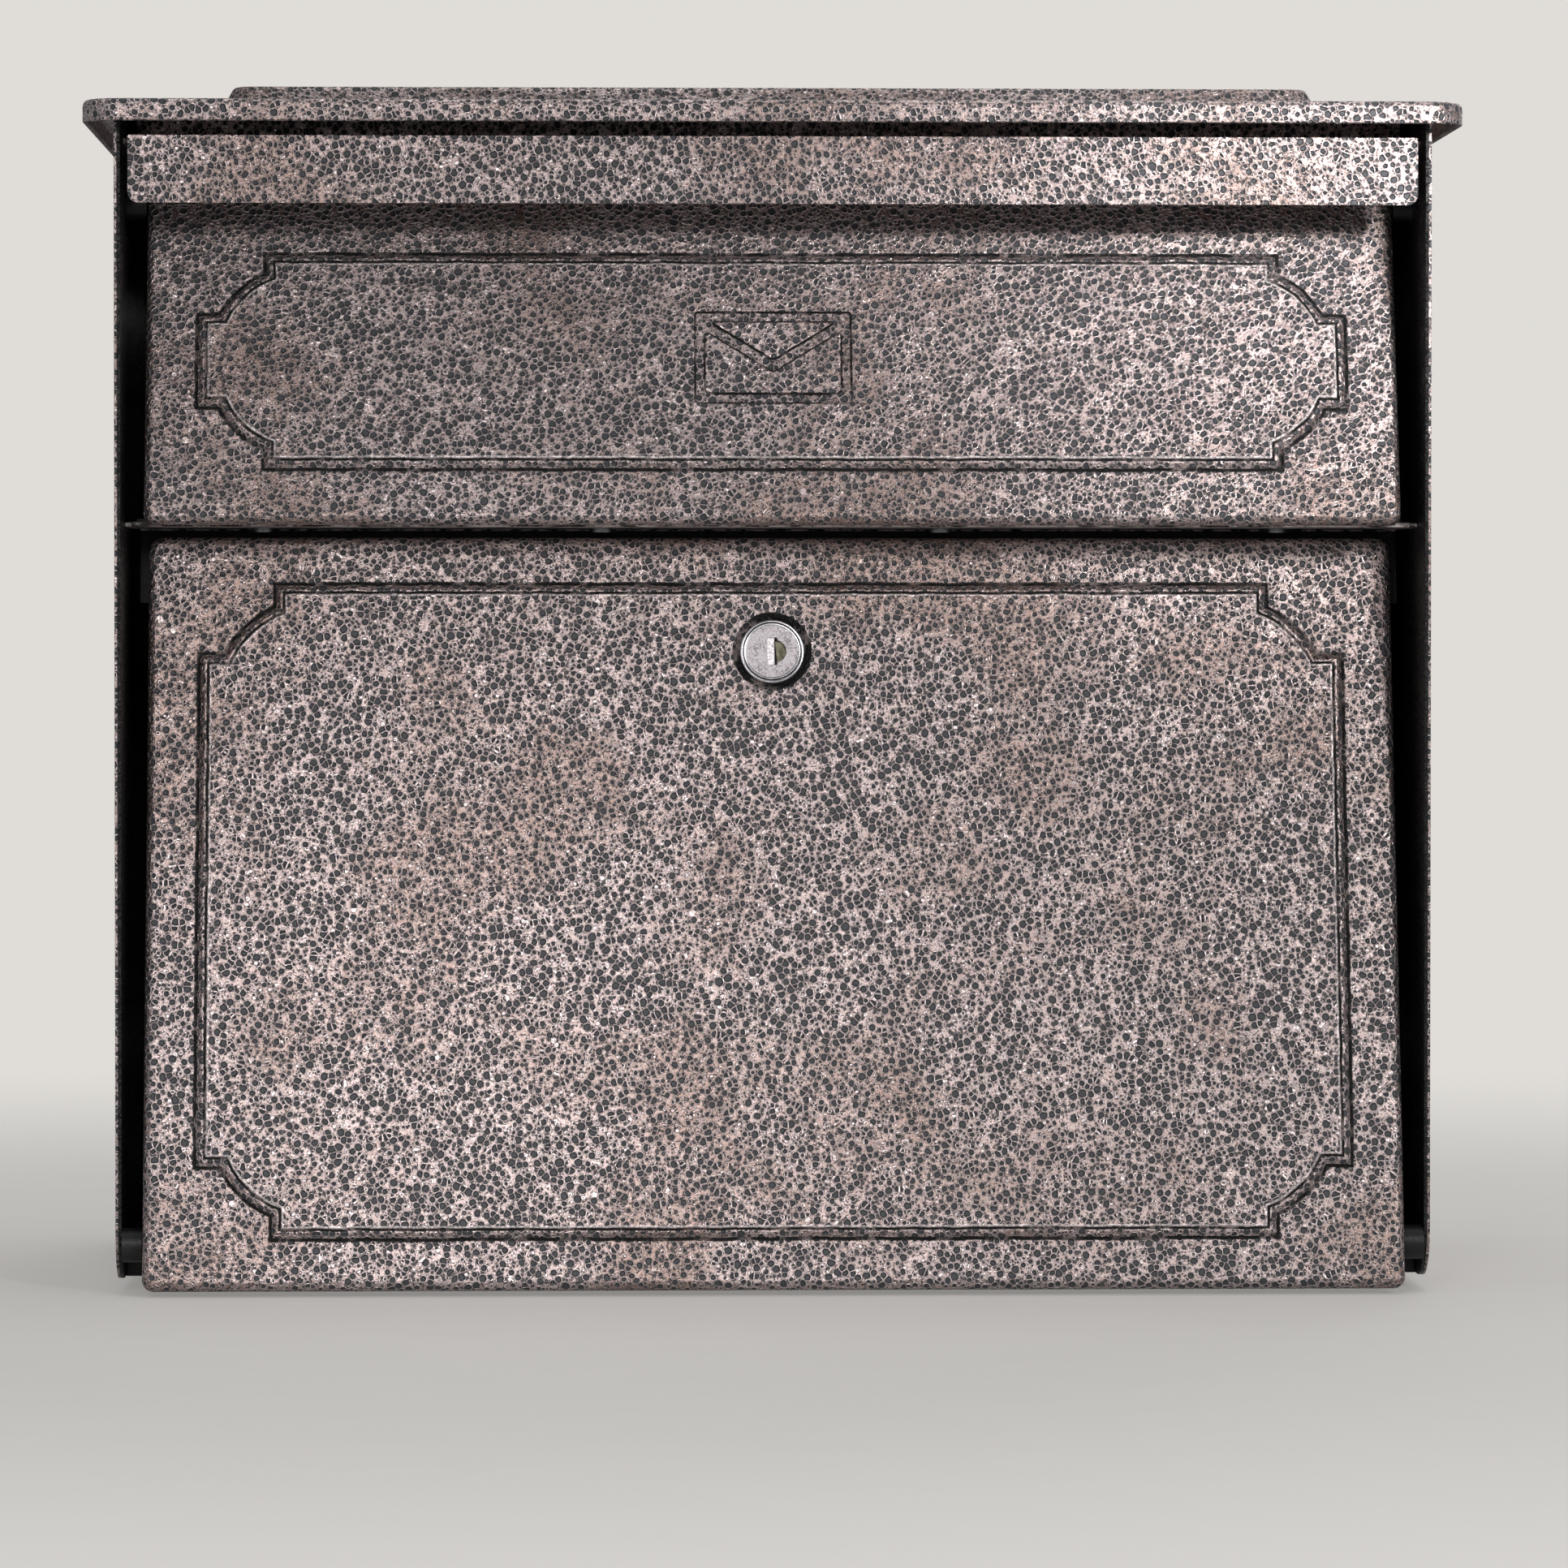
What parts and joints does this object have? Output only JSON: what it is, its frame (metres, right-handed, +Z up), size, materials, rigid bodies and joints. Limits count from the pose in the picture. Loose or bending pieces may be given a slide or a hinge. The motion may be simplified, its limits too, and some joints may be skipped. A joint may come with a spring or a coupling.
{
  "type": "wall mounted mailbox",
  "caption": "Wall mounted steel mailbox with a lift-up mail flap over a sloping, locked, bottom-hinged access door, under an overhanging roof.",
  "frame": {"origin": "centre of the four wall holes, on the back face that lies against the wall", "axes": "+Z up, +Y into the wall, so the door and flap face -Y, +X to the right for a person facing the box"},
  "size_m": [0.4, 0.21, 0.3511],
  "materials": {
    "hammered_coat": "hammered powder coat, dark grey bumps in a copper-pink metallic network",
    "inner_coat": "thin dark powder coat, satin",
    "zinc_steel": "zinc plated",
    "lock_chrome": "polished chrome plate",
    "lock_face": "fine satin chrome",
    "brass": "dull, darkened",
    "rubber": "matte"
  },
  "bodies": {
    "case": {"back_panel": "hammered_coat", "left_side_panel": "hammered_coat", "right_side_panel": "hammered_coat", "floor_panel": "inner_coat", "roof_cap": "hammered_coat", "hood_rail": "hammered_coat", "mid_rail": "hammered_coat", "chute_plate": "inner_coat", "chute_rivets": "zinc_steel", "flap_hinge_pins": "inner_coat", "flap_bumpers": "rubber", "door_hinge_pins": "inner_coat", "door_bumpers": "rubber"},
    "flap": {"mail_flap": "hammered_coat"},
    "door": {"access_door": "hammered_coat", "lock_doubler": "zinc_steel", "lock_body": "lock_chrome", "lock_nut": "zinc_steel"},
    "lock_core": {"lock_plug": "lock_face", "lock_cam": "zinc_steel", "cam_washer": "zinc_steel", "cam_screw": "zinc_steel"},
    "shutter": {"keyway_shutter": "brass"}
  },
  "joints": [
    {"name": "flap_hinge", "type": "hinge", "parent": "case", "child": "flap", "pos_m": [0, -0.16619, 0.13937], "axis": [-1, 0, 0], "range_deg": [0, 55]},
    {"name": "door_hinge", "type": "hinge", "parent": "case", "child": "door", "pos_m": [0, -0.196, -0.164], "axis": [1, 0, 0], "range_deg": [0, 100]},
    {"name": "lock_turn", "type": "hinge", "parent": "door", "child": "lock_core", "pos_m": [0, -0.17355, 0.00812], "axis": [0, -0.982, 0.1891], "range_deg": [0, 90]},
    {"name": "shutter_slide", "type": "slide", "parent": "lock_core", "child": "shutter", "axis": [-1, 0, 0], "range_m": [0, 0.003]}
  ]
}
